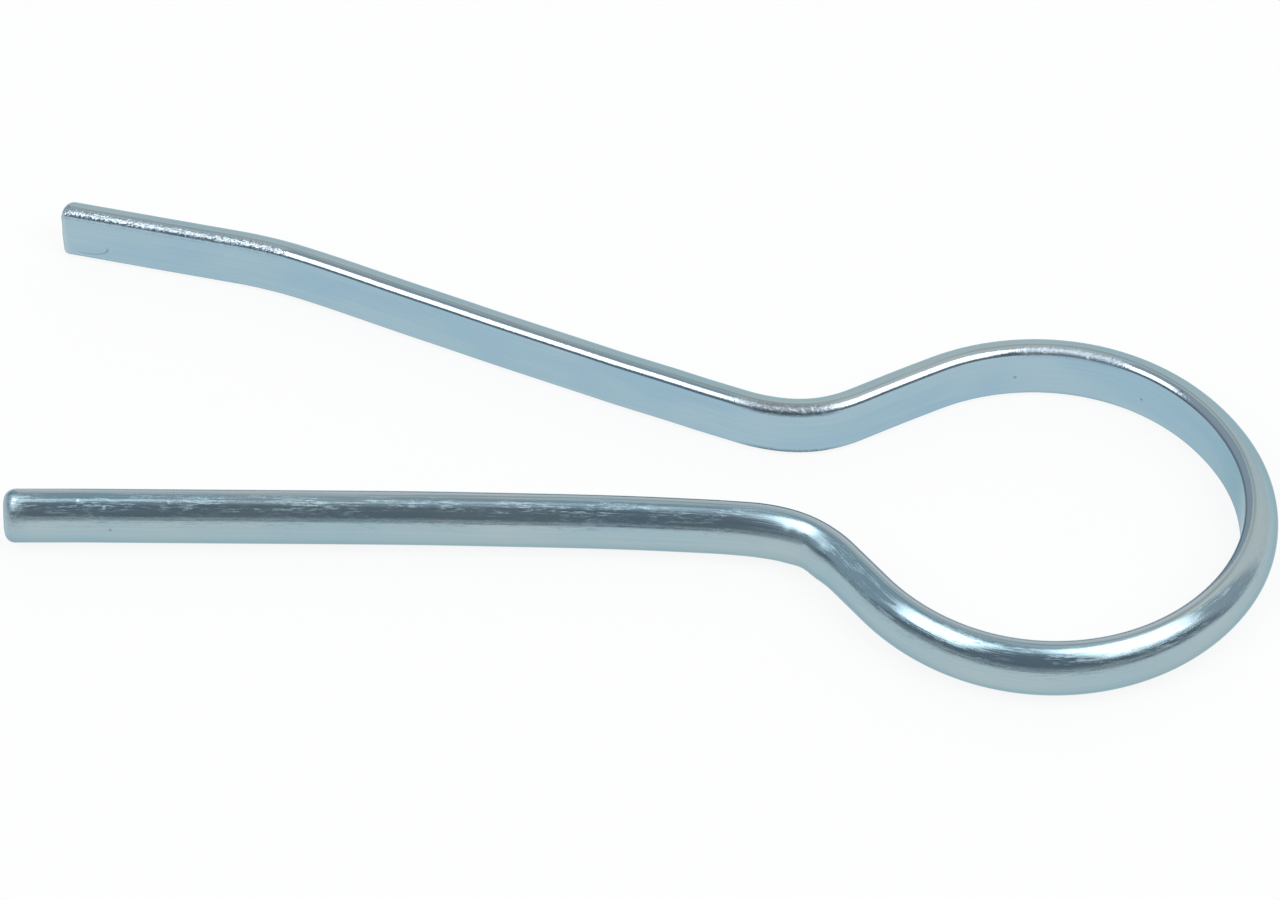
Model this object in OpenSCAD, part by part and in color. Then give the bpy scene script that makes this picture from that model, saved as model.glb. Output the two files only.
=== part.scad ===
// Spring clip bent from one length of half-round wire: a straight leg, a neck,
// a nearly round eye, a second neck and a raised leg with a turned-back tip.
// The flat of the wire faces inwards all the way round, the round back faces out,
// so the two legs closed on each other make up one full round.
// Millimetres. The clip lies on its side: +X towards the eye, +Z up, and the
// origin under the middle of its bounding box. +Y is the side of the raised leg.

/* [Wire] */
// Diameter of the round that two legs laid flat to flat make up
wire_diameter = 8; // [3:0.5:10]
// Share of the wire radius to which the two long edges of the flat are rolled
edge_share = 0.25; // [0.1:0.01:0.35]

/* [Straight leg] */
// Length of the dead straight stretch from the tip
straight_length = 44.2; // [15:0.1:90]
// Radius of the slight bow that carries the straight leg on to its neck
bow_radius = 650; // [200:10:1500]
// Turn made by that bow, in degrees
bow_angle = 3.4; // [0.5:0.1:5]

/* [Lower neck] */
// Radius of the flat where the straight leg kinks outwards
lower_neck_radius = 15.5; // [12:0.5:30]
// Turn of that kink, in degrees
lower_neck_angle = 49.1; // [30:0.1:60]
// Straight stretch between that kink and the eye
lower_throat_length = 5.9; // [1:0.1:15]

/* [Eye] */
// Radius of the flat along both sides of the eye
eye_radius = 22.4; // [18:0.1:30]
// Turn of the eye on the side of the straight leg, in degrees
lower_eye_angle = 107; // [90:1:120]
// Radius of the flat round the outer end of the eye
crown_radius = 19.2; // [14:0.1:26]
// Turn of the outer end of the eye, in degrees
crown_angle = 60.4; // [40:0.1:75]
// Turn of the eye on the side of the raised leg, in degrees
upper_eye_angle = 93; // [80:1:105]

/* [Upper neck] */
// Straight stretch between the eye and the upper kink
upper_throat_length = 10.4; // [1:0.1:20]
// Radius of the flat where the raised leg kinks back
upper_neck_radius = 17.2; // [12:0.1:30]
// Turn of that kink, in degrees
upper_neck_angle = 51.2; // [40:0.1:60]

/* [Raised leg] */
// Straight stretch of the raised leg
raised_length = 54.8; // [20:0.1:90]
// Radius of the bend before its tip
tip_bend_radius = 40; // [15:1:80]
// Turn of that bend, in degrees
tip_bend_angle = 10.4; // [2:0.1:25]
// Straight stretch from that bend to the tip
tip_length = 21.1; // [8:0.1:40]

/* [Cut ends] */
// Radius of the shallow crown left on both cut ends
crop_crown_radius = 60; // [20:5:150]
// Share of the wire radius that the cut leaves unrounded at its middle
crop_flat_share = 0.9; // [0.4:0.05:0.95]
// How far the cut rounds off the back of the wire, as a share of the wire radius
crop_setback_share = 0.18; // [0.05:0.01:0.4]

/* [Hidden] */
$fn = 96;
wire_radius = wire_diameter / 2;
// Every second stretch of the wire is slimmer by a hair and laps into the stretches
// beside it, so that all of them join into one solid
hair = 0.02;
lap = 0.2;
// Centre of the rolled edge: it touches the flat and stands out of the round back by
// a hair, which the back trims off again, so that the two cross cleanly
edge_radius = edge_share * wire_radius;
edge_reach = wire_radius - edge_radius + hair;
edge_height = sqrt(pow(edge_reach, 2) - pow(edge_radius, 2));
half_height = edge_height + edge_radius;
// Depth from the flat at which the rolled edge runs into the round back
edge_depth = edge_radius * wire_radius / edge_reach;
// The rounding of a cut end is a ball on the wire's axis. It starts at crop_flat
// and has gone back by crop_setback where it leaves the wire's round back.
crop_flat = crop_flat_share * wire_radius;
crop_setback = crop_setback_share * wire_radius;
crop_ball_centre = (pow(wire_radius, 2) - pow(crop_flat, 2) + pow(crop_setback, 2))
                   / (2 * crop_setback);
crop_ball_radius = sqrt(pow(crop_ball_centre, 2) + pow(crop_flat, 2));
// Length at each end that carries the cut form
end_length = wire_radius;
steel = [0.60, 0.70, 0.74];

// The bends in the order in which the wire is bent, from the tip of the straight
// leg: [length, 0] runs straight, [radius, turn] bends, to the left if positive.
run = [
    [straight_length, 0],
    [bow_radius, -bow_angle],
    [lower_neck_radius, -lower_neck_angle],
    [lower_throat_length, 0],
    [eye_radius, lower_eye_angle],
    [crown_radius, crown_angle],
    [eye_radius, upper_eye_angle],
    [upper_throat_length, 0],
    [upper_neck_radius, -upper_neck_angle],
    [raised_length, 0],
    [tip_bend_radius, tip_bend_angle],
    [tip_length, 0]
];

// Where a stretch ends, seen from its own start and heading
function step(s) = s[1] == 0
    ? [s[0], 0]
    : [s[0] * sin(abs(s[1])), sign(s[1]) * s[0] * (1 - cos(s[1]))];
function turned(v, a) = [v.x * cos(a) - v.y * sin(a), v.x * sin(a) + v.y * cos(a)];
// Start and heading of stretch i: [x, y, heading]
function start_of(i) = i == 0
    ? [0, 0, 0]
    : let (p = start_of(i - 1), d = turned(step(run[i - 1]), p[2]))
      [p.x + d.x, p.y + d.y, p[2] + run[i - 1][1]];

// Points that can be furthest out: the ends of every stretch on the flat and on
// the back, and where a bend's outer side passes a direction of the axes
function across(p, depth) = [p.x, p.y] + depth * [sin(p[2]), -cos(p[2])];
function along(p, d) = [p.x + d * cos(p[2]), p.y + d * sin(p[2]), p[2]];
function bend_extremes(s, p) =
    let (side = sign(s[1]),
         centre = across(p, -side * s[0]),
         reach = s[0] + (side > 0 ? wire_radius : 0),
         from = side > 0 ? p[2] - 90 : p[2] + 90 + s[1])
    [for (k = [0:3]) let (ahead = (90 * k - from) % 360)
        if ((ahead < 0 ? ahead + 360 : ahead) <= abs(s[1]))
            centre + reach * [cos(90 * k), sin(90 * k)]];
tip = start_of(len(run));
outline = concat(
    [[0, 0], across([crop_setback, 0, 0], wire_radius)],
    [for (i = [1:len(run) - 1]) each [across(start_of(i), 0), across(start_of(i), wire_radius)]],
    [for (i = [0:len(run) - 1]) if (run[i][1] != 0) each bend_extremes(run[i], start_of(i))],
    [across(tip, 0), across(along(tip, -crop_setback), wire_radius)]
);
low = [min([for (q = outline) q.x]), min([for (q = outline) q.y])];
high = [max([for (q = outline) q.x]), max([for (q = outline) q.y])];
middle = (low + high) / 2;

// Half-round section: x is the depth from the flat, y the height over the middle
module half_round(slim) {
    intersection() {
        circle(r = wire_radius - slim);
        union() {
            translate([slim, -edge_height]) square([wire_diameter, 2 * edge_height]);
            translate([edge_depth, -wire_diameter])
                square([wire_diameter, 2 * wire_diameter]);
            for (side = [-1, 1])
                translate([edge_radius, side * edge_height]) circle(r = edge_radius - slim);
        }
    }
}

// A straight stretch along +X, its flat facing +Y and its back -Y
module straight(from, to, slim) {
    translate([from, 0, 0]) rotate([-90, 0, 0]) rotate([0, 90, 0])
        linear_extrude(height = to - from) half_round(slim);
}

// A bend that sets out along +X. Where it turns left its flat is on the inside
module bend(radius, turn, over, slim) {
    side = sign(turn);
    extra = over / radius * 180 / PI;
    first = side > 0 ? -90 - extra : 90 + turn - extra;
    translate([0, side * radius, 0]) rotate([0, 0, first])
        rotate_extrude(angle = abs(turn) + 2 * extra)
            translate([radius, 0]) mirror([(1 - side) / 2, 0]) half_round(slim);
}

// A leg that sets out along +X from its cut end at x = 0
module cut_leg(length, slim) {
    intersection() {
        straight(0, end_length, slim);
        translate([crop_crown_radius, 0, 0]) sphere(r = crop_crown_radius);
        translate([crop_ball_centre, 0, 0]) sphere(r = crop_ball_radius);
    }
    straight(end_length, length, slim);
}

module clip() {
    color(steel) translate([-middle.x, -middle.y, half_height]) {
        cut_leg(straight_length, 0);
        for (i = [1:len(run) - 2]) {
            p = start_of(i);
            over = i % 2 * lap;
            slim = i % 2 * hair;
            translate([p.x, p.y, 0]) rotate([0, 0, p[2]])
                if (run[i][1] == 0) straight(-over, run[i][0] + over, slim);
                else bend(run[i][0], run[i][1], over, slim);
        }
        translate([tip.x, tip.y, 0]) rotate([0, 0, tip[2]]) mirror([1, 0, 0])
            cut_leg(tip_length + lap, hair);
    }
}

clip();
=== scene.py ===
# %% [markdown]
# # A spring clip of half-round wire
# The clip is one piece of bent wire, so there is one piece to model: the lesson is how to
# carry a section along a line of bends, and how to make bright zinc look like zinc.
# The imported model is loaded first. It is the fixed frame: everything that is made here
# is in metres and sits where the model sits.

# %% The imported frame
import math

import bpy
import numpy as np
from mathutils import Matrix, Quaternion, Vector


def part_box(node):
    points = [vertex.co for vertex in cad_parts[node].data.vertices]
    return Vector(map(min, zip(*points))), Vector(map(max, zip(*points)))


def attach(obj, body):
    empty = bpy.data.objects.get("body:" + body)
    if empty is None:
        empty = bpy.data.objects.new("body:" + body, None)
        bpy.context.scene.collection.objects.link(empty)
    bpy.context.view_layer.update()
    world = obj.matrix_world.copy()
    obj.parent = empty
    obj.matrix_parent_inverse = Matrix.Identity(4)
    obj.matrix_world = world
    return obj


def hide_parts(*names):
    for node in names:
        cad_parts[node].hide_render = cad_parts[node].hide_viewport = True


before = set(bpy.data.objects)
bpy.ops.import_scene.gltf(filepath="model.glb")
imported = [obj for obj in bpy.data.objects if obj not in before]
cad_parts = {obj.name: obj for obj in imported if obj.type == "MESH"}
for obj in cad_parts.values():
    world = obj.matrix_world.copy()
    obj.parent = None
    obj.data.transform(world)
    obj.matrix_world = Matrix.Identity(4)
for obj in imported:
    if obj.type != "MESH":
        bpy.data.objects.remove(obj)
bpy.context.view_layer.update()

MM = 0.001
low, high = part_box("clip")
print("frame box, mm:", [round(c / MM, 2) for c in (high - low)])


# %% [markdown]
# ## The wire and its line
# The clip is one length of half-round wire. Its flat faces inwards all the way round,
# its round back faces out. The line below is the middle of the flat, bend by bend, from
# the tip of the straight leg: a length with turn 0 runs straight, a radius with a turn
# bends, to the left if the turn is positive. The numbers are those of the part itself.

# %% Sizes
BACK_RADIUS = 4.0 * MM           # the round back of the part
HAIR = 0.03 * MM                 # the skin made here stays this far inside the part
WIRE_RADIUS = BACK_RADIUS - HAIR
SHOULDER_RADIUS = 1.25 * MM      # the rolled edge, where it leaves the round back
CORNER_RADIUS = 0.55 * MM        # the rolled edge, where it meets the flat
CORNER_TURN = math.radians(42)   # how much of the roll the tight corner takes
MID_HEIGHT = (low.z + high.z) / 2

RUN = [  # length or radius in mm, turn in degrees
    (44.2, 0.0),
    (650.0, -3.4),
    (15.5, -49.1),
    (5.9, 0.0),
    (22.4, 107.0),
    (19.2, 60.4),
    (22.4, 93.0),
    (10.4, 0.0),
    (17.2, -51.2),
    (54.8, 0.0),
    (40.0, 10.4),
    (21.1, 0.0),
]
LOWER_NECK, EYE_START = 2, 4     # their places in RUN
print("stretches:", len(RUN))


# %% [markdown]
# ## Following the line
# The stretches are laid end to end, each from where the last one stops, so the one list
# gives every start point and heading. A bend to the left has its centre on the left.

# %% The line
def stations(start):
    """Start point and heading of every stretch, from the tip of the straight leg."""
    x, y, heading = start[0], start[1], 0.0
    found = [(x, y, heading)]
    for size, turn in RUN:
        size *= MM
        if turn == 0:
            x += size * math.cos(heading)
            y += size * math.sin(heading)
        else:
            side = math.copysign(1.0, turn)
            cx = x - side * size * math.sin(heading)
            cy = y + side * size * math.cos(heading)
            heading += math.radians(turn)
            x = cx + side * size * math.sin(heading)
            y = cy - side * size * math.cos(heading)
        found.append((x, y, heading))
    return found


# The lowest point of the eye's back gives the height of the straight leg in plan.
eye_x, eye_y, eye_heading = stations((0.0, 0.0))[EYE_START]
eye_size = RUN[EYE_START][0] * MM
eye_low = eye_y + eye_size * math.cos(eye_heading) - eye_size - BACK_RADIUS
START = (low.x, low.y - eye_low)
STATIONS = stations(START)
WIRE_LENGTH = sum(s * MM if t == 0 else s * MM * math.radians(abs(t)) for s, t in RUN)
print("line, mm:", [(round(x / MM, 2), round(y / MM, 2)) for x, y, h in STATIONS])
print("wire length, mm:", round(WIRE_LENGTH / MM, 1))


# %% [markdown]
# ## Helpers for edit mode
# Operators act on what is selected, so each step selects its vertices by their place
# first. `pick` does that with a test on the vertex and leaves the mesh in edit mode.

# %% Selecting by place
NEAR = 0.005 * MM   # how close a vertex must be to count as on a plane
TINY = 0.0001 * MM  # what bisect and merge take as the same place


def pick(piece, test):
    """Selects the vertices of the piece that pass the test, in edit mode."""
    bpy.ops.object.mode_set(mode="OBJECT")
    mesh = piece.data
    for kind in (mesh.polygons, mesh.edges, mesh.vertices):
        kind.foreach_set("select", [False] * len(kind))
    for vertex in mesh.vertices:
        if test(vertex.co):
            vertex.select = True
    bpy.ops.object.mode_set(mode="EDIT")
    bpy.ops.mesh.select_mode(type="VERT")


print("a vertex counts as on a plane within", round(NEAR / MM, 4), "mm")


# %% [markdown]
# ## The half-round section
# The section starts as the full round of the wire, standing across the straight leg. A
# bisect takes off the inner half. Each open end is then spun twice: round a slack
# shoulder that leaves the back, and round a tight corner that meets the flat, the way
# rolls leave the edge of half-round wire.

# %% The section
bpy.ops.object.select_all(action="DESELECT")
ROUND_POINTS = 96
SHOULDER_STEPS, CORNER_STEPS = 9, 7
FLAT_COLUMNS = 13
END_LENGTH = WIRE_RADIUS
x0, y0 = START[0] + END_LENGTH, START[1]
between = SHOULDER_RADIUS - CORNER_RADIUS
corner_depth = HAIR + CORNER_RADIUS
shoulder_depth = corner_depth + between * math.cos(CORNER_TURN)
shoulder_height = math.sqrt((WIRE_RADIUS - SHOULDER_RADIUS) ** 2 - shoulder_depth ** 2)
corner_height = shoulder_height + between * math.sin(CORNER_TURN)
leave_depth = shoulder_depth * WIRE_RADIUS / (WIRE_RADIUS - SHOULDER_RADIUS)
shoulder_turn = (math.pi - CORNER_TURN - math.atan2(shoulder_height, shoulder_depth))

bpy.ops.mesh.primitive_circle_add(
    vertices=ROUND_POINTS, radius=WIRE_RADIUS, fill_type="NGON",
    location=(x0, y0, MID_HEIGHT), rotation=(0, math.pi / 2, 0))
clip = bpy.context.object
clip.name = clip.data.name = "clip_wire"
bpy.ops.object.transform_apply(location=True, rotation=True, scale=True)
bpy.ops.object.mode_set(mode="EDIT")
bpy.ops.mesh.select_all(action="SELECT")
bpy.ops.mesh.bisect(plane_co=(x0, y0 - leave_depth, MID_HEIGHT), plane_no=(0, 1, 0),
                    clear_outer=True, threshold=TINY)
bpy.ops.mesh.select_all(action="SELECT")
bpy.ops.mesh.delete(type="ONLY_FACE")
pick(clip, lambda c: abs(c.y - (y0 - leave_depth)) < NEAR)
bpy.ops.mesh.delete(type="EDGE")
for side in (1, -1):
    pick(clip, lambda c: abs(c.y - (y0 - leave_depth)) < NEAR
         and side * (c.z - MID_HEIGHT) > 0)
    # spin counts its angle clockwise
    bpy.ops.mesh.spin(steps=SHOULDER_STEPS, angle=side * shoulder_turn, axis=(1, 0, 0),
                      center=(x0, y0 - shoulder_depth, MID_HEIGHT + side * shoulder_height))
    bpy.ops.mesh.spin(steps=CORNER_STEPS, angle=side * CORNER_TURN, axis=(1, 0, 0),
                      center=(x0, y0 - corner_depth, MID_HEIGHT + side * corner_height))
pick(clip, lambda c: abs(c.y - (y0 - HAIR)) < NEAR)
bpy.ops.mesh.edge_face_add()
bpy.ops.mesh.subdivide(number_cuts=FLAT_COLUMNS - 1)
bpy.ops.mesh.select_all(action="SELECT")
bpy.ops.object.mode_set(mode="OBJECT")
ring = len(clip.data.vertices)
print("section points:", ring, " edges:", len(clip.data.edges),
      " height mm:", round((max(v.co.z for v in clip.data.vertices)
                            - min(v.co.z for v in clip.data.vertices)) / MM, 3))


# %% [markdown]
# ## Bending the wire
# The section is carried along the line: extruded on the straights and spun round the
# bend centres, ring after ring, exactly as the wire was fed and bent. A curve with a bevel
# object could carry it too, but spinning makes every bend a true arc, with the spacing of
# the rings chosen bend by bend. It is about a millimetre, and a third of that in the lower
# neck, so that the small dents further down have something to press into.

# %% The bends
RING_STEP = 0.9 * MM
NECK_STEP = 0.33 * MM    # finer in the lower neck, where the back is creased


def carry_straight(length, heading):
    """Extrudes the open end straight on, ring by ring."""
    steps = max(1, round(length / RING_STEP))
    shift = Vector((math.cos(heading), math.sin(heading), 0)) * (length / steps)
    for _ in range(steps):
        bpy.ops.mesh.extrude_edges_move(TRANSFORM_OT_translate={"value": tuple(shift)})
    return steps


def carry_round(radius, turn, station, ring_step):
    """Spins the open end round the bend's centre, ring by ring."""
    x, y, heading = station
    side = math.copysign(1.0, turn)
    steps = max(2, round(abs(turn) * radius / ring_step))
    centre = (x - side * radius * math.sin(heading),
              y + side * radius * math.cos(heading), MID_HEIGHT)
    bpy.ops.mesh.spin(steps=steps, angle=-turn, center=centre, axis=(0, 0, 1))
    return steps


bpy.ops.object.mode_set(mode="EDIT")
bpy.ops.mesh.select_all(action="SELECT")
rings = 1
for number, ((size, turn), station) in enumerate(zip(RUN, STATIONS)):
    if turn == 0:
        cut = END_LENGTH if number in (0, len(RUN) - 1) else 0.0
        rings += carry_straight(size * MM - cut, station[2])
    else:
        rings += carry_round(size * MM, math.radians(turn), station,
                             NECK_STEP if number == LOWER_NECK else RING_STEP)
bpy.ops.object.mode_set(mode="OBJECT")
print("rings:", rings, " vertices:", len(clip.data.vertices))


# %% [markdown]
# ## The two cut ends
# Both ends were cropped in a press. The cut is nearly square with a shallow crown, and
# the blade drew the rim over as it went in: most at the top, where it entered, and least
# at the flat. The open ring is drawn out to the tip and closed with smaller rings, and
# each ring is set back by the round of the rim at that place.

# %% The cut ends
CROWN_RADIUS = 60 * MM
SECTION_MIDDLE = 1.6 * MM
BODY_RINGS = (3.2, 2.5, 1.9)     # mm from the tip
FACE_SHARES = (1.0, 0.985, 0.95, 0.90, 0.83, 0.74, 0.62, 0.46, 0.28, 0.12)
STRAIGHT_RIM = (0.95, 0.60, 0.20)  # mm: all round, more at the top, less at the flat
RAISED_RIM = (0.55, 0.40, 0.25)


def crop_tip(tip, back_side, rim):
    """Closes the open ring that stands END_LENGTH inside the tip, along X."""
    everywhere, at_top, at_flat = (value * MM for value in rim)
    middle = Vector((tip.x, tip.y + back_side * SECTION_MIDDLE, tip.z))
    pick(clip, lambda c: abs(c.x - tip.x - END_LENGTH) < NEAR
         and abs(c.y - tip.y) < 2 * WIRE_RADIUS)
    at = END_LENGTH
    for back in BODY_RINGS:
        bpy.ops.mesh.extrude_edges_move(
            TRANSFORM_OT_translate={"value": (back * MM - at, 0, 0)})
        at = back * MM
    last = 1.0
    for share in FACE_SHARES:
        bpy.ops.mesh.extrude_edges_move(TRANSFORM_OT_translate={"value": (0, 0, 0)})
        bpy.ops.transform.resize(value=(1, share / last, share / last),
                                 center_override=middle)
        bpy.ops.object.mode_set(mode="OBJECT")
        for v in clip.data.vertices:
            if v.select:
                out = Vector((0, back_side * (v.co.y - middle.y), v.co.z - middle.z))
                inside = out.length * (1 / share - 1)
                out.normalize()
                radius = everywhere + at_top * max(0, out.z) - at_flat * max(0, -out.y)
                rounding = radius - math.sqrt(radius ** 2 - max(0, radius - inside) ** 2)
                reach = math.hypot(v.co.y - tip.y, v.co.z - tip.z)
                crown = CROWN_RADIUS - math.sqrt(CROWN_RADIUS ** 2 - reach ** 2)
                v.co.x = tip.x + HAIR + rounding + crown
        bpy.ops.object.mode_set(mode="EDIT")
        last = share
    bpy.ops.mesh.merge(type="CENTER")
    bpy.ops.object.mode_set(mode="OBJECT")


print("rims, mm:", STRAIGHT_RIM, RAISED_RIM)


# %% [markdown]
# ## Cropping both tips
# The straight leg lies along X already. For the raised leg the whole piece is turned until
# that leg does too, and turned back afterwards. At the end all faces point outwards.

# %% Both tips
def turn_piece(angle):
    """Turns the whole piece about the vertical through the origin."""
    clip.rotation_euler.z = angle
    bpy.ops.object.transform_apply(location=False, rotation=True, scale=False)


crop_tip(Vector((*START, MID_HEIGHT)), -1, STRAIGHT_RIM)
tip_x, tip_y, tip_heading = STATIONS[-1]
raised_turn = math.pi - tip_heading
turn_piece(raised_turn)
tip_there = Vector((tip_x * math.cos(raised_turn) - tip_y * math.sin(raised_turn),
                    tip_x * math.sin(raised_turn) + tip_y * math.cos(raised_turn),
                    MID_HEIGHT))
crop_tip(tip_there, 1, RAISED_RIM)
turn_piece(-raised_turn)
bpy.ops.object.mode_set(mode="EDIT")
bpy.ops.mesh.select_all(action="SELECT")
bpy.ops.mesh.normals_make_consistent(inside=False)
bpy.ops.object.mode_set(mode="OBJECT")
bpy.ops.object.shade_smooth()
corners = [[f(v.co[i] for v in clip.data.vertices) / MM for i in range(3)] for f in (min, max)]
print("piece, mm:", [[round(c, 3) for c in corner] for corner in corners])
print("triangles:", sum(len(p.vertices) - 2 for p in clip.data.polygons))


# %% [markdown]
# ## Coordinates along the wire
# Drawn streaks run along the wire, round every bend. So each vertex is given its place
# on the wire as it was before bending: how far along, how deep from the flat and how
# high. The finish reads this attribute, and nothing in it slides or breaks at a bend.

# %% The straightened place of every vertex
def straighten(points):
    """(n, 3) along, depth and height on the unbent wire, in metres."""
    best = np.full(len(points), np.inf)
    out = np.zeros((len(points), 3))
    run_length = 0.0
    for (size, turn), (x, y, heading) in zip(RUN, STATIONS):
        rel = points[:, :2] - (x, y)
        ahead = rel @ (math.cos(heading), math.sin(heading))
        right = rel @ (math.sin(heading), -math.cos(heading))
        if turn == 0:
            length, depth = size * MM, right
        else:
            side, radius = math.copysign(1.0, turn), size * MM
            length = radius * math.radians(abs(turn))
            from_centre = radius + side * right
            ahead, depth = (radius * np.arctan2(ahead, from_centre),
                            side * (np.hypot(ahead, from_centre) - radius))
        # A vertex belongs to the stretch that it lies beside and whose depths it fits.
        outside = np.maximum(0, np.maximum(-ahead, ahead - length))
        miss = outside + np.abs(depth - SECTION_MIDDLE) * 0.5
        closer = miss < best
        best[closer] = miss[closer]
        out[closer, 0] = run_length + ahead[closer]
        out[closer, 1] = depth[closer]
        run_length += length
    out[:, 2] = points[:, 2] - MID_HEIGHT
    return out


def vertex_places():
    """(n, 3) places of the vertices, in metres."""
    flat = np.empty(len(clip.data.vertices) * 3)
    clip.data.vertices.foreach_get("co", flat)
    return flat.reshape(-1, 3)


unbent = straighten(vertex_places())
wire_place = clip.data.attributes.new("wire_place", "FLOAT_VECTOR", "POINT")
wire_place.data.foreach_set("vector", (unbent / MM).astype(np.float32).ravel())
print("unbent, mm:", (unbent.min(0) / MM).round(2), (unbent.max(0) / MM).round(2))


# %% [markdown]
# ## Small marks of the bending
# The clip was bent round pins by a machine, so the wire wanders by up to 0.3 mm from the
# clean line. In the lower neck the round back lies on the inside of the bend, where the
# metal had to shorten: it buckled into one soft crease with fine wrinkles beside it, and
# the pin left a small nick. Proportional editing could make such marks one by one. Here
# the vertices are moved sideways by a sum of small bumps, whose sizes can be read.

# %% Wander and crease
# Place along the wire and the shift towards the round back there, both in mm.
WANDER = ((0, 0.10), (10, 0.02), (40, 0.0), (55, 0.06), (70, -0.02), (78, 0.0),
          (85, 0.11), (91, 0.0), (105, -0.08), (117, 0.0), (128, -0.02), (145, -0.04),
          (152, -0.02), (165, -0.02), (176, 0.03), (192, -0.08), (205, 0.05),
          (215, -0.04), (225, 0.28), (232, 0.13), (242, -0.05), (255, -0.08),
          (265, -0.01), (278, 0.14), (286, 0.03), (300, 0.0), (312, 0.0))
CREASE = ((80, 0.0), (84.5, 0.09), (88, 0.02), (90.3, -0.15), (93.5, 0.12), (97, 0.0))
CREASE_SIDE = (1.2, 3.4)                  # depth over which the crease sets in, mm
WRINKLES = (91.0, 95.5, 1.15, 0.018)      # from, to, spacing, height, all mm
WRINKLE_FADES = (1.0, 1.5)                # mm, at their start and at their end
WRINKLE_SIDE = (2.4, 3.2)                 # depth over which the wrinkles set in, mm
WRINKLE_TOP = (0.8, 1.8)                  # height over which the wrinkles end, mm
NICK = ((91.3, 3.66, 1.62), 0.45, 0.09)   # place, radius, depth, all mm
NICK_BOTTOM = 0.1                         # radius of its deepest part, mm


def ease(value, start, end):
    t = np.clip((value - start) / (end - start), 0, 1)
    return t * t * (3 - 2 * t)


def between_points(table, value):
    """Eased values between the listed ones."""
    spots, heights = (np.array(column) for column in zip(*table))
    i = np.clip(np.searchsorted(spots, value) - 1, 0, len(spots) - 2)
    return heights[i] + (heights[i + 1] - heights[i]) * ease(value, spots[i], spots[i + 1])


print("wander, mm:", min(shift for _, shift in WANDER), "to", max(shift for _, shift in WANDER))


# %% [markdown]
# ## Pushing the wire off its line
# Sideways is square to the line, towards the round back, so every vertex needs the heading
# of the line beside it. The attribute keeps the clean places, so the finish isn't moved.

# %% The push
along, depth_in, height_off = (unbent / MM).T
lengths = [size * (math.radians(abs(turn)) if turn else 1) for size, turn in RUN]
headings = np.interp(along, np.concatenate([[0], np.cumsum(lengths)]),
                     [heading for _, _, heading in STATIONS])
sideways = between_points(WANDER, along)
sideways += between_points(CREASE, along) * ease(depth_in, *CREASE_SIDE)
first, end, spacing, rise = WRINKLES
fade_in, fade_out = WRINKLE_FADES
in_wrinkles = (ease(along, first, first + fade_in)
               * (1 - ease(along, end - fade_out, end)))
sideways += (rise * np.sin(2 * np.pi * (along - first) / spacing) * in_wrinkles
             * ease(depth_in, *WRINKLE_SIDE) * (1 - ease(height_off, *WRINKLE_TOP)))
spot, radius, deep = NICK
apart = np.linalg.norm(unbent / MM - spot, axis=1)
sideways -= deep * (1 - ease(apart, NICK_BOTTOM, radius))
moved = vertex_places()
moved[:, 0] += np.sin(headings) * sideways * MM
moved[:, 1] -= np.cos(headings) * sideways * MM
clip.data.vertices.foreach_set("co", moved.ravel())
clip.data.update()
print("moved sideways, mm: from", sideways.min().round(3), "to", sideways.max().round(3))


# %% [markdown]
# ## Node helpers
# A finish is a chain of small sums. These helpers add the nodes, take numbers or sockets
# as inputs, and hand back the output socket. With them the finish below reads as a list of
# what lies on the metal.

# %% Sums
def tint(r, g, b):
    """A colour as the sockets want it, with full alpha."""
    return (r, g, b, 1.0)


def feed(tree, socket, value):
    """Links a socket to the input, or sets the input to a plain value."""
    if isinstance(value, bpy.types.NodeSocket):
        tree.links.new(value, socket)
    else:
        socket.default_value = value


def maths(tree, operation, *values):
    """One Math node."""
    node = tree.nodes.new("ShaderNodeMath")
    node.operation = operation
    for socket, value in zip(node.inputs, values):
        feed(tree, socket, value)
    return node.outputs[0]


def product(tree, first, *others):
    """All the values multiplied."""
    for other in others:
        first = maths(tree, "MULTIPLY", first, other)
    return first


def largest(tree, first, *others):
    """The largest of the values."""
    for other in others:
        first = maths(tree, "MAXIMUM", first, other)
    return first


def add_share(tree, value, share, base):
    """The base and a share of the value."""
    return maths(tree, "MULTIPLY_ADD", value, share, base)


print("sums: product, largest, add_share")


# %% [markdown]
# ## Steps, noise and colours
# A soft step makes the border of every zone, noise makes the grain inside it, and a blend
# lays one colour over another.

# %% Vectors, steps, noise and colours
def vector_maths(tree, operation, a, b):
    """One Vector Math node. It gives a number for a dot product or a distance."""
    node = tree.nodes.new("ShaderNodeVectorMath")
    node.operation = operation
    feed(tree, node.inputs[0], a)
    feed(tree, node.inputs["Scale" if operation == "SCALE" else 1], b)
    return node.outputs["Value" if operation in ("DOT_PRODUCT", "DISTANCE") else "Vector"]


def soft_step(tree, value, start, end, before=0.0, after=1.0):
    """The first level before start, the second after end, smooth between."""
    node = tree.nodes.new("ShaderNodeMapRange")
    node.interpolation_type = "SMOOTHSTEP"
    for socket, given in zip(node.inputs, (value, start, end, before, after)):
        feed(tree, socket, given)
    return node.outputs[0]


def noise(tree, where, stretch, detail=2.0, roughness=0.5):
    """Noise from 0 to 1 with this many grains per mm in each direction."""
    node = tree.nodes.new("ShaderNodeTexNoise")
    feed(tree, node.inputs["Vector"], vector_maths(tree, "MULTIPLY", where, stretch))
    node.inputs["Scale"].default_value = 1.0
    node.inputs["Detail"].default_value = detail
    node.inputs["Roughness"].default_value = roughness
    return node.outputs["Fac"]


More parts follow.
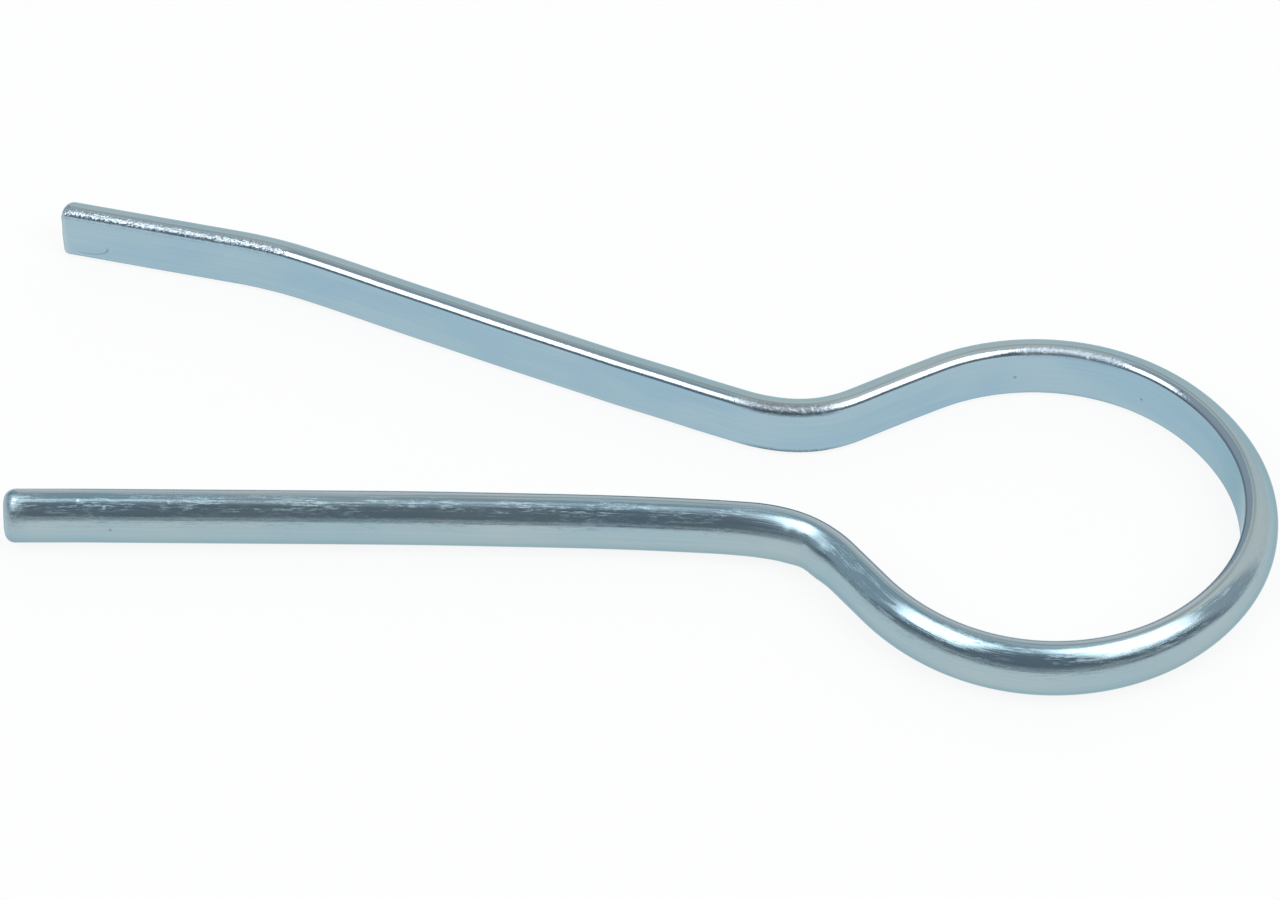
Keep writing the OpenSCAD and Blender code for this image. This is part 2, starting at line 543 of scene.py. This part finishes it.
def blend(tree, share, a, b):
    """A colour between a and b."""
    node = tree.nodes.new("ShaderNodeMix")
    node.data_type = "RGBA"
    for index, value in ((0, share), (6, a), (7, b)):
        feed(tree, node.inputs[index], value)
    return node.outputs[2]


print("helpers: vector_maths, soft_step, noise, blend")


# %% [markdown]
# ## Zinc finish
# The wire is drawn steel with bright zinc and a bluish passivation. It is one metal
# throughout, so one Principled shader with a Metallic of 1 carries it, and all the rest is
# where it is bluer or greyer, smoother or rougher. Everything is read from the place on
# the straightened wire, in millimetres, so the marks follow the bends.

# %% Places on the wire
zinc = bpy.data.materials.new("zinc_steel")
zinc.use_nodes = True
tree = zinc.node_tree
shader = tree.nodes["Principled BSDF"]
wire_reader = tree.nodes.new("ShaderNodeAttribute")
wire_reader.attribute_name = "wire_place"
place = wire_reader.outputs["Vector"]
along_wire = vector_maths(tree, "DOT_PRODUCT", place, (1, 0, 0))
depth = vector_maths(tree, "DOT_PRODUCT", place, (0, 1, 0))
height = vector_maths(tree, "DOT_PRODUCT", place, (0, 0, 1))
off_middle = maths(tree, "ABSOLUTE", height)

# Each zone sets in over a range of depth from the flat or of height over the middle, mm.
on_back = soft_step(tree, depth, 0.5, 1.5)
off_flat = soft_step(tree, depth, 0.06, 0.30)
on_shoulders = soft_step(tree, off_middle, 2.6, 3.0)
on_edge = product(tree, soft_step(tree, depth, 1.3, 0.7), on_shoulders)
on_crest = product(tree, soft_step(tree, depth, 0.95, 0.60), on_shoulders, off_flat)
near_top = soft_step(tree, height, 2.6, 2.9)


def window(start, end, fade=3.0):
    """1 between two places along the wire, 0 outside."""
    return product(tree, soft_step(tree, along_wire, start - fade, start),
                   soft_step(tree, along_wire, end + fade, end))


def spots(listed):
    """1 at the listed places on the wire, 0 further off than their radius."""
    return largest(tree, *(soft_step(tree, vector_maths(tree, "DISTANCE", place, centre),
                                     radius, radius / 2) for centre, radius in listed))


print("zones: back, off the flat, shoulders, edge, crest, top")


# %% [markdown]
# ## Grain
# Six noises stand for what the making left. The die drew long lines and shorter strokes
# along the wire, the zinc grew in a fine grain, the bath left clouds in the passivation,
# rough patches lie between smooth ones, and the rolls pressed beads into the edges. The
# numbers are grains per mm along the wire, into it and across it.

# %% Grain
lines = noise(tree, place, (0.05, 6.0, 6.0), detail=3.0, roughness=0.65)
strokes = noise(tree, place, (0.7, 6.4, 6.4), detail=5.0, roughness=0.7)
grain = noise(tree, place, (2.6, 3.4, 3.4), detail=3.0, roughness=0.65)
patches = noise(tree, place, (0.16, 0.9, 0.9), detail=2.0, roughness=0.6)
clouds = noise(tree, place, (0.06, 0.14, 0.14), detail=2.0)
beads = noise(tree, place, (2.9, 2.1, 2.1), detail=2.0, roughness=0.6)

# Stretches that were handled in a way of their own, in mm along the wire.
dim_edge_stretch = window(216.5, 222.0, 4.0)   # the edge is darker in speckles here, which dims its highlight
frosted = largest(tree, window(181.0, 190.0), window(216.0, 224.0, 4.0))
beaded = window(284.0, 320.0)
kneaded = window(84.0, 92.0, 4.0)         # the inside of the lower neck
print("nodes so far:", len(tree.nodes))


# %% [markdown]
# ## Colour
# The flat is a little bluer than the back, and both cloud slowly between blue and grey.
# The crest of the rolled edge is barest. Painted shade lies as a dark line on both sides of
# it, for the dark room that those slopes reflect. The edge is darker in speckles in the upper
# neck, which dims its highlight there, and the cut ends show fresher zinc.

# %% Colour
FLAT_BLUE, FLAT_GREY = tint(0.320, 0.478, 0.578), tint(0.368, 0.514, 0.590)
BACK_BLUE, BACK_GREY = tint(0.340, 0.470, 0.525), tint(0.385, 0.490, 0.522)
CREST_ZINC = tint(0.44, 0.51, 0.56)
FRESH_ZINC = tint(0.44, 0.56, 0.61)
# The first two are painted shade beside the crest, the third darkens the edge in the upper
# neck.
LOW_PAINTED_SHADE, HIGH_PAINTED_SHADE, DIM_EDGE_SPECKLES = -0.34, -0.32, -0.45   # how much each one darkens
CUT_FADE = (0.9, 0.3)                               # mm from the tip

cloudy = soft_step(tree, clouds, 0.35, 0.65)
drawn = soft_step(tree, lines, 0.30, 0.70, 0.97, 1.03)    # 3 % darker to 3 % lighter
colour = blend(tree, off_flat, blend(tree, cloudy, FLAT_BLUE, FLAT_GREY),
               blend(tree, cloudy, BACK_BLUE, BACK_GREY))
colour = blend(tree, on_crest, colour, CREST_ZINC)
# Painted shade: the two dark lines beside the crest stand in for the dark room they reflect.
# They lie between these depths, in mm, and only along the upper edge.
low_painted_shade = product(tree, soft_step(tree, depth, 0.04, 0.09),
                   soft_step(tree, depth, 0.34, 0.20), near_top)
high_painted_shade = product(tree, soft_step(tree, depth, 0.85, 1.10),
                    soft_step(tree, depth, 1.40, 1.15),
                    soft_step(tree, lines, 0.35, 0.55), near_top)
# The edge is darker in speckles in the upper neck, which dims its highlight there.
dim_edge_speckles = product(tree, on_edge, dim_edge_stretch, soft_step(tree, grain, 0.62, 0.50))
tone = product(tree, drawn, add_share(tree, low_painted_shade, LOW_PAINTED_SHADE, 1.0),
               add_share(tree, high_painted_shade, HIGH_PAINTED_SHADE, 1.0),
               add_share(tree, dim_edge_speckles, DIM_EDGE_SPECKLES, 1.0))
colour = vector_maths(tree, "SCALE", colour, tone)
length_mm = WIRE_LENGTH / MM
cut_ends = largest(tree, soft_step(tree, along_wire, *CUT_FADE),
                   soft_step(tree, along_wire, *(length_mm - fade for fade in CUT_FADE)))
colour = blend(tree, cut_ends, colour, FRESH_ZINC)
print("nodes so far:", len(tree.nodes))


# %% [markdown]
# ## Marks of handling
# The clip has small pits, dark specks and here an arc-shaped scratch by the tip. The pits
# are light spots of colour, a painted glint that stands in for the lamps caught in their
# slopes. Each mark is a small distance test, which is sharper and lighter than a painted
# picture.

# %% Marks
# Light colour in the pits is a painted glint, for the lamps caught in their slopes.
PIT_GLINT_PAINT = tint(0.66, 0.74, 0.76)
DARK_MARK_TONE = tint(0.08, 0.11, 0.13)
DARK_MARK_SHARE = 0.40
# Place on the wire and radius, all mm.
GLINT_PITS = (((8.5, 2.02, 3.45), 0.22), ((11.4, 2.66, 2.99), 0.30),
         ((18.5, 2.10, 3.40), 0.22), ((183.7, 0.16, 3.40), 0.30))
SPECKS = (((12.0, 3.94, 0.67), 0.25), ((191.8, 0.03, -0.45), 0.28),
          ((177.0, 0.03, -0.55), 0.25), ((172.3, 0.54, 3.70), 0.30))
ARC_CENTRE, ARC_RADIUS = (306.6, 0.03, -1.30), 1.25
ARC_SQUASH = 0.45         # its height over its length
ARC_LINE = (0.09, 0.03)   # mm off the arc over which the scratch sets in

pits_painted_glint = product(tree, spots(GLINT_PITS), soft_step(tree, grain, 0.36, 0.52))
squashed = vector_maths(tree, "MULTIPLY", place, (ARC_SQUASH, 1.0, 1.0))
centre = (ARC_SQUASH * ARC_CENTRE[0], *ARC_CENTRE[1:])
from_arc = maths(tree, "SUBTRACT", vector_maths(tree, "DISTANCE", squashed, centre),
                 ARC_RADIUS)
# Only the lower quarter of the arc on the side away from the tip was scratched.
scratch = product(tree, soft_step(tree, maths(tree, "ABSOLUTE", from_arc), *ARC_LINE),
                  soft_step(tree, height, -0.6, -1.6), window(300.0, 306.6, 1.5))
# The pits get their painted glint here.
colour = blend(tree, pits_painted_glint, colour, PIT_GLINT_PAINT)
# The dark specks and the scratch are darker colour.
dark_marks = product(tree, largest(tree, spots(SPECKS), scratch), DARK_MARK_SHARE)
colour = blend(tree, dark_marks, colour, DARK_MARK_TONE)
tree.links.new(colour, shader.inputs["Base Color"])
print("chips:", len(GLINT_PITS), " specks:", len(SPECKS))


# %% [markdown]
# ## Gloss
# A metal's look is mostly its roughness. The flat is evenly satin. The back is a mirror,
# with rougher drawn lines and frosted patches above the middle. The crest of the edge is
# smooth, but frosted where the pins pressed it. The passivation keeps the metal from going
# white at a glancing angle. The glancing tint is also brought down as painted shade, for the
# shadowed paper that the low edges reflect.

# %% Gloss
# Partly the passivation, partly painted shade: darker at a glancing angle for the shadowed
# paper that the low edges reflect.
GLANCING_TINT_AND_SHADE = tint(0.58, 0.70, 0.74)
MIRROR, SATIN, CREST = 0.05, 0.18, 0.12   # roughness of back, flat and crest
PRESSED = 0.32                            # added where the crest is frosted
UNDER_KNEADING = -0.8                     # how much of the frost the kneading took off
shader.inputs["Metallic"].default_value = 1.0
shader.inputs["Specular Tint"].default_value = GLANCING_TINT_AND_SHADE

frost = product(tree, soft_step(tree, patches, 0.34, 0.60),
                soft_step(tree, strokes, 0.47, 0.60),
                add_share(tree, kneaded, UNDER_KNEADING, 1.0),
                soft_step(tree, height, 0.4, 1.2))
streaked = product(tree, soft_step(tree, lines, 0.38, 0.64),
                   soft_step(tree, height, 0.8, 2.0))
tip_frost = product(tree, soft_step(tree, along_wire, 3.4, 1.4),
                    soft_step(tree, grain, 0.25, 0.60))
ROUGHENED = ((streaked, 0.14), (frost, 0.28), (kneaded, 0.09), (tip_frost, 0.30),
             (pits_painted_glint, 0.20))
back_rough = MIRROR
for mark, added in ROUGHENED:
    back_rough = add_share(tree, mark, added, back_rough)
edge_rough = add_share(tree, frosted, PRESSED, CREST)
flat_rough = add_share(tree, on_edge, maths(tree, "SUBTRACT", edge_rough, SATIN), SATIN)
rough = add_share(tree, maths(tree, "SUBTRACT", back_rough, flat_rough), on_back, flat_rough)
tree.links.new(rough, shader.inputs["Roughness"])
print("nodes so far:", len(tree.nodes))


# %% [markdown]
# ## Relief
# The drawn lines and the grain are a few thousandths of a millimetre deep, too fine for
# the mesh, so they are bump. The beads on the edge by the raised tip are the deepest.

# %% Relief
RELIEF = 0.006 * MM                               # one unit of the heights below
LINE_HEIGHT, STROKE_HEIGHT = 1.1, 0.7             # on the back only
GRAIN_HEIGHT, GRAIN_ON_BACK = 0.08, 0.2           # everywhere, and more on the back
BEAD_HEIGHT, BEAD_PRESSED, BEAD_TIP = 2.0, 14.0, 26.0   # edge: plain, frosted, by the tip
relief = product(tree, lines, on_back, LINE_HEIGHT)
relief = add_share(tree, strokes, product(tree, on_back, STROKE_HEIGHT), relief)
relief = add_share(tree, grain, add_share(tree, on_back, GRAIN_ON_BACK, GRAIN_HEIGHT), relief)
bead_rise = add_share(tree, frosted, BEAD_PRESSED, BEAD_HEIGHT)
bead_rise = add_share(tree, beaded, BEAD_TIP, bead_rise)
relief = add_share(tree, beads, product(tree, on_edge, bead_rise), relief)
bump = tree.nodes.new("ShaderNodeBump")
bump.inputs["Strength"].default_value = 1.0
bump.inputs["Distance"].default_value = RELIEF
tree.links.new(relief, bump.inputs["Height"])
tree.links.new(bump.outputs["Normal"], shader.inputs["Normal"])
clip.data.materials.append(zinc)
print("zinc nodes:", len(tree.nodes))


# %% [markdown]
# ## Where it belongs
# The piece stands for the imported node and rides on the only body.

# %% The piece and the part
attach(clip, "root")
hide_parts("clip")
print("piece:", clip.name, " triangles:", sum(len(p.vertices) - 2 for p in clip.data.polygons))


# %% [markdown]
# ## Floor
# The clip lies on a sheet of white paper. To the lamps the paper is plain white diffuse.
# To the camera and in the metal it is mostly an even glow, so it stays white without more
# light, and the rest of it keeps the soft shadow under the wire.

# %% Floor
PAPER_SIDE = 4.0                       # m
PAPER_WHITE = tint(0.85, 0.85, 0.85)
PAPER_GLOW = 0.88                      # share of the even glow
bpy.ops.mesh.primitive_plane_add(size=PAPER_SIDE, location=(0, 0, 0))
floor = bpy.context.object
floor.name = floor.data.name = "floor"
paper = bpy.data.materials.new("paper")
paper.use_nodes = True
sheet = paper.node_tree
sheet.nodes.clear()
diffuse = sheet.nodes.new("ShaderNodeBsdfDiffuse")
diffuse.inputs["Color"].default_value = PAPER_WHITE
glow = sheet.nodes.new("ShaderNodeEmission")
path = sheet.nodes.new("ShaderNodeLightPath")
seen = largest(sheet, path.outputs["Is Camera Ray"], path.outputs["Is Glossy Ray"])
either = sheet.nodes.new("ShaderNodeMixShader")
feed(sheet, either.inputs["Fac"], product(sheet, seen, PAPER_GLOW))
sheet.links.new(diffuse.outputs[0], either.inputs[1])
sheet.links.new(glow.outputs[0], either.inputs[2])
sheet_out = sheet.nodes.new("ShaderNodeOutputMaterial")
sheet.links.new(either.outputs[0], sheet_out.inputs["Surface"])
floor.data.materials.append(paper)
print("floor, m:", tuple(round(side, 2) for side in floor.dimensions))


# %% [markdown]
# ## The studio
# Bright metal shows the room, so the room is part of the finish: a pale backdrop behind
# and a little to the right, a grey room to the sides, and a dark side behind the camera,
# with the pale table reaching up to a few degrees over the horizon and a pale rail above
# it. Soft steps are enough, because the round back squeezes the whole room into a few
# narrow bands.

# %% The room
SIDES = tint(0.46, 0.52, 0.58)
BACKDROP = tint(0.95, 0.91, 0.89)
BEHIND_CAMERA = tint(0.215, 0.240, 0.275)
RAIL = tint(0.72, 0.70, 0.69)
TABLE = tint(0.95, 0.95, 0.95)
WHITE = tint(1, 1, 1)
BACKDROP_WAY = (0.5, 0.866, 0)    # 30 degrees to the right of straight behind
BACKDROP_REACH = -0.64            # minus the cosine of 50 degrees, to either side
DARK_REACH = -0.4                 # minus the tangent of 22 degrees, off the zenith
# Heights in the room are sines of the angle over the horizon.
TABLE_TOP = (0.13, 0.07)
RAIL_FOOT, RAIL_TOP = (0.19, 0.22), (0.29, 0.26)

world = bpy.data.worlds.new("studio")
bpy.context.scene.world = world
world.use_nodes = True
room = world.node_tree
room.nodes.clear()
looking = room.nodes.new("ShaderNodeTexCoord").outputs["Generated"]
up = vector_maths(room, "DOT_PRODUCT", looking, (0, 0, 1))
front = vector_maths(room, "DOT_PRODUCT", looking, (0, -1, 0))
level_part = maths(room, "SQRT", maths(room, "SUBTRACT", 1.0, product(room, up, up)))
to_backdrop = vector_maths(room, "DOT_PRODUCT", looking, BACKDROP_WAY)
in_backdrop = soft_step(
    room, add_share(room, level_part, BACKDROP_REACH, to_backdrop), -0.01, 0.10)
in_dark = soft_step(room, add_share(room, up, DARK_REACH, front), 0.0, 0.22)
in_table = product(room, soft_step(room, up, *TABLE_TOP), soft_step(room, front, 0.1, 0.4))
in_rail = product(room, soft_step(room, front, 0.3, 0.7),
                  soft_step(room, up, *RAIL_FOOT), soft_step(room, up, *RAIL_TOP))
to_camera = room.nodes.new("ShaderNodeLightPath").outputs["Is Camera Ray"]
room_tone = SIDES
for share, seen_there in ((in_backdrop, BACKDROP), (in_dark, BEHIND_CAMERA),
                          (in_rail, RAIL), (in_table, TABLE), (to_camera, WHITE)):
    room_tone = blend(room, share, room_tone, seen_there)
backing = room.nodes.new("ShaderNodeBackground")
room.links.new(room_tone, backing.inputs["Color"])
room_out = room.nodes.new("ShaderNodeOutputWorld")
room.links.new(backing.outputs[0], room_out.inputs["Surface"])
print("room nodes:", len(room.nodes))


# %% [markdown]
# ## Softboxes
# Two softboxes stand left and right of the camera and make the bright patches on the
# round back. A real one is brightest in its middle, which one area lamp can't show. So
# each is three fields, each larger than the last and a little further back, which show
# through one another. In one plane they would hide each other in a mirror.

# %% Softboxes
def softbox(name, side, rise, lean, distance, size, radiance):
    """An area lamp that faces the clip. side and rise are degrees from the front."""
    data = bpy.data.lights.new(name, "AREA")
    data.shape = "RECTANGLE"
    data.size, data.size_y = size
    data.energy = radiance * size[0] * size[1] * math.pi
    lamp = bpy.data.objects.new(name, data)
    bpy.context.scene.collection.objects.link(lamp)
    side, rise = math.radians(side), math.radians(rise)
    way = Vector((math.cos(rise) * math.sin(side), -math.cos(rise) * math.cos(side),
                  math.sin(rise)))
    lamp.location = way * distance
    facing = way.to_track_quat("Z", "Y") @ Quaternion((0, 0, 1), math.radians(lean))
    lamp.rotation_euler = facing.to_euler()


RADIANCE = 1.1
NEAREST, LAYER_GAP = 2.0, 0.05    # m
# Width and height of each field as shares of the box. The left box stays low, clear of
# the straight leg's reflection.
LEFT_FIELDS = ((0.76, 0.76), (1.0, 0.92), (1.22, 1.0))
RIGHT_FIELDS = ((0.76, 0.76), (1.0, 1.0), (1.22, 1.22))
# Name, side, rise and lean in degrees, width and height in metres, fields.
BOXES = (("softbox_left", -57, 54, 8, 0.90, 1.36, LEFT_FIELDS),
         ("softbox_right", 57, 58, -13, 1.14, 1.47, RIGHT_FIELDS))
for layer in range(len(LEFT_FIELDS)):
    away = NEAREST + LAYER_GAP * layer
    for name, side, rise, lean, wide, tall, fields in BOXES:
        wide_share, tall_share = (share * away / NEAREST for share in fields[layer])
        softbox(name, side, rise, lean, away, (wide * wide_share, tall * tall_share), RADIANCE)


# %% [markdown]
# ## Camera
# A long lens from far off keeps the two legs from converging, as in a catalogue picture.
# It looks down at about 49 degrees, which shows the flat and the back together.

# %% Camera
CAMERA_PLACE = Vector((3.87, -399.22, 459.98)) * MM
CAMERA_AIM = Vector((-0.22, -1.33, 3.85)) * MM
SENSOR_WIDTH, LENS = 36.0, 151.875    # mm
cam_data = bpy.data.cameras.new("camera")
cam_data.sensor_width = SENSOR_WIDTH
cam_data.lens = LENS
cam_data.clip_start = 0.01
camera = bpy.data.objects.new("camera", cam_data)
bpy.context.scene.collection.objects.link(camera)
camera.location = CAMERA_PLACE
camera.rotation_euler = (CAMERA_AIM - CAMERA_PLACE).to_track_quat("-Z", "Y").to_euler()
bpy.context.scene.camera = camera
bpy.context.scene.view_settings.view_transform = "Standard"
print("camera to clip, mm:", round((CAMERA_AIM - CAMERA_PLACE).length / MM))
